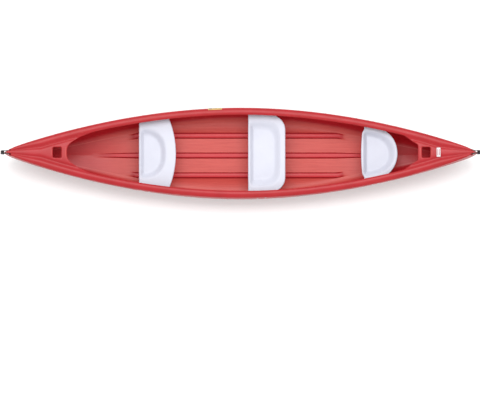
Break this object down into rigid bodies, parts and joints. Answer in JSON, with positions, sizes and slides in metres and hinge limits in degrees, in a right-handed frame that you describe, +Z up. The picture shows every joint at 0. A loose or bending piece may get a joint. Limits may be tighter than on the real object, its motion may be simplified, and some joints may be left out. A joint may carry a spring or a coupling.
{
  "type": "canoe",
  "caption": "Open touring canoe in moulded red plastic with short decks, scooped white seats bolted to the sides and a swinging carry handle at each stem.",
  "frame": {"origin": "on the ground plane under the middle of the canoe's overall box", "axes": "+X towards the stern, bow at -X; +Y to starboard; +Z up"},
  "size_m": [5.022, 0.95, 0.551],
  "materials": {
    "hull_plastic": "rotomoulded satin",
    "seat_plastic": "rotomoulded satin",
    "foam": "closed-cell foam",
    "fastener_steel": "stainless",
    "handle_plastic": "satin",
    "emblem_film": "printed film",
    "label_film": "printed film",
    "plate_plastic": "engraving plate"
  },
  "bodies": {
    "canoe": {"hull": "hull_plastic", "bow_foam_block": "foam", "stern_foam_block": "foam", "bow_seat": "seat_plastic", "bow_seat_bolts": "fastener_steel", "bow_seat_washers": "fastener_steel", "bow_seat_nuts": "fastener_steel", "centre_seat": "seat_plastic", "centre_seat_bolts": "fastener_steel", "centre_seat_washers": "fastener_steel", "centre_seat_nuts": "fastener_steel", "stern_seat": "seat_plastic", "stern_seat_bolts": "fastener_steel", "stern_seat_washers": "fastener_steel", "stern_seat_nuts": "fastener_steel", "bow_pivot_bolt": "fastener_steel", "bow_pivot_washers": "fastener_steel", "bow_pivot_nut": "fastener_steel", "stern_pivot_bolt": "fastener_steel", "stern_pivot_washers": "fastener_steel", "stern_pivot_nut": "fastener_steel", "port_emblem": "emblem_film", "starboard_label": "label_film", "stern_deck_plate": "plate_plastic", "plate_rivets": "fastener_steel"},
    "bow_carry_handle": {"bow_handle": "handle_plastic"},
    "stern_carry_handle": {"stern_handle": "handle_plastic"}
  },
  "joints": [
    {"name": "bow_handle_swing", "type": "hinge", "parent": "canoe", "child": "bow_carry_handle", "pos_m": [-2.425, 0, 0.495], "axis": [0, 1, 0], "range_deg": [0, 100]},
    {"name": "stern_handle_swing", "type": "hinge", "parent": "canoe", "child": "stern_carry_handle", "pos_m": [2.425, 0, 0.508], "axis": [0, -1, 0], "range_deg": [0, 100]}
  ]
}
